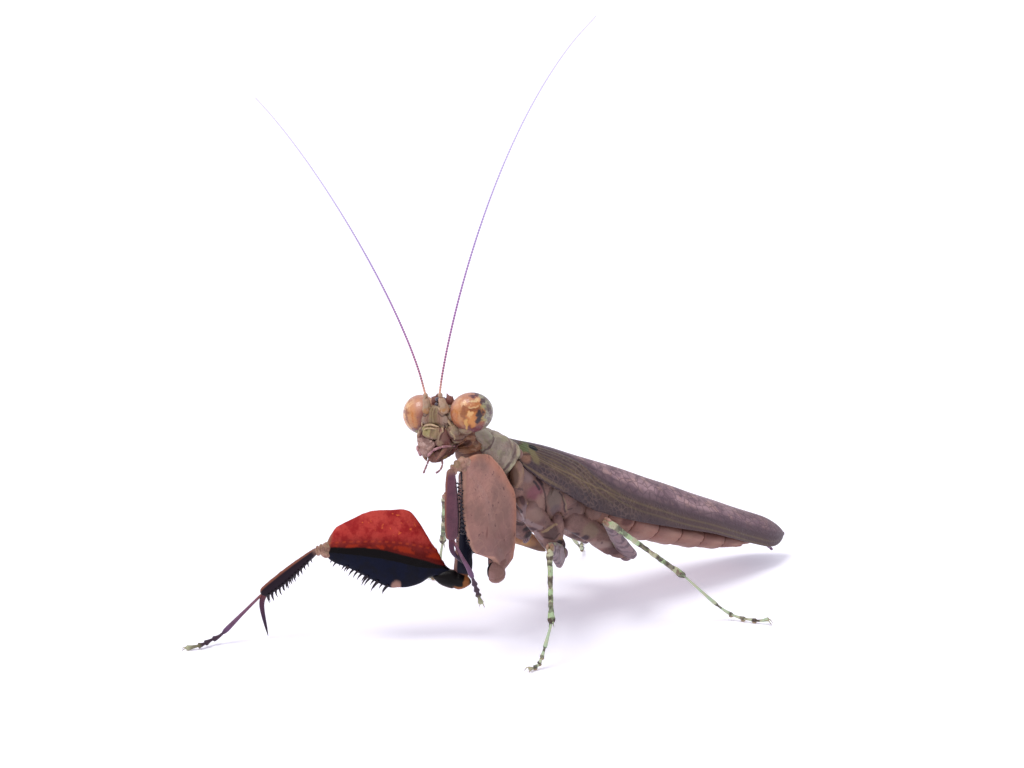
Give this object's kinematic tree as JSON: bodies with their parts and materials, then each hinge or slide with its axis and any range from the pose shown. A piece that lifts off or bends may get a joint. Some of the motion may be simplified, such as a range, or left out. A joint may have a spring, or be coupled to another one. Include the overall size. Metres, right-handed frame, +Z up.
{
  "type": "boxer mantis",
  "caption": "Slender winged insect on thin jointed legs, with big round eyes, long feelers, a roof of folded wings and broad toothed forelegs, the right held out in front.",
  "frame": {"origin": "the floor point under the middle of the bounding box: every standing foot rests at z = 0", "axes": "+Z up; +Y tailwards, so the animal faces -Y; +X to the animal's left"},
  "size_m": [0.0194, 0.036, 0.0329],
  "materials": {
    "eye": "smooth and glossy, amber with a darker mottled rear edge",
    "head": "satin, olive green and brown cuticle",
    "jaws": "satin, brown to purple cuticle",
    "feeler": "satin, banded peach and magenta, paler to the tips",
    "forewing": "satin, finely net-veined leathery brown with a yellow-green vein",
    "hindwing": "satin, thin folded membrane",
    "neck_shield": "satin, olive with a pale yellow-green rim",
    "thorax": "satin, tan and brown cuticle with dark spots",
    "abdomen": "satin, salmon brown",
    "fore_femur": "satin, pinkish brown outside, red and blue-black inside",
    "fore_leg_dark": "glossy, dark purple-black",
    "walking_leg": "satin, banded green, grey-purple and dark brown"
  },
  "bodies": {
    "root": {"eye_left": "eye", "eye_right": "eye", "labrum": "head", "head": "head", "jaws": "jaws", "palp_left": "jaws", "palp_right": "jaws", "scape_left": "feeler", "scape_right": "feeler", "feeler_left_1": "feeler", "feeler_left_2": "feeler", "feeler_right_1": "feeler", "feeler_right_2": "feeler", "forewing_left": "forewing", "forewing_right": "forewing", "hindwing_left": "hindwing", "hindwing_right": "hindwing", "pronotum": "neck_shield", "neck": "thorax", "prothorax": "thorax", "mesothorax": "thorax", "metathorax": "thorax", "abdomen_1": "abdomen", "abdomen_2": "abdomen", "abdomen_3": "abdomen", "abdomen_4": "abdomen", "abdomen_5": "abdomen", "abdomen_6": "abdomen", "abdomen_7": "abdomen", "tail_plate": "abdomen", "cercus_left": "abdomen", "cercus_right": "abdomen", "fore_femur_left": "fore_femur", "fore_femur_right": "fore_femur", "fore_tibia_left": "fore_leg_dark", "fore_tibia_right": "fore_leg_dark", "fore_coxa_left": "thorax", "fore_coxa_right": "thorax", "fore_trochanter_left": "fore_leg_dark", "fore_trochanter_right": "fore_leg_dark", "fore_tarsus_left": "feeler", "fore_tarsus_right": "feeler", "mid_femur_left": "walking_leg", "mid_coxa_left": "thorax", "mid_tibia_left": "walking_leg", "mid_foot_left": "walking_leg", "mid_femur_right": "walking_leg", "mid_coxa_right": "thorax", "mid_tibia_right": "walking_leg", "mid_foot_right": "walking_leg", "hind_femur_left": "walking_leg", "hind_coxa_left": "thorax", "hind_tibia_left": "walking_leg", "hind_foot_left": "walking_leg", "hind_femur_right": "walking_leg", "hind_coxa_right": "thorax", "hind_tibia_right": "walking_leg", "hind_foot_right": "walking_leg"}
  },
  "joints": []
}
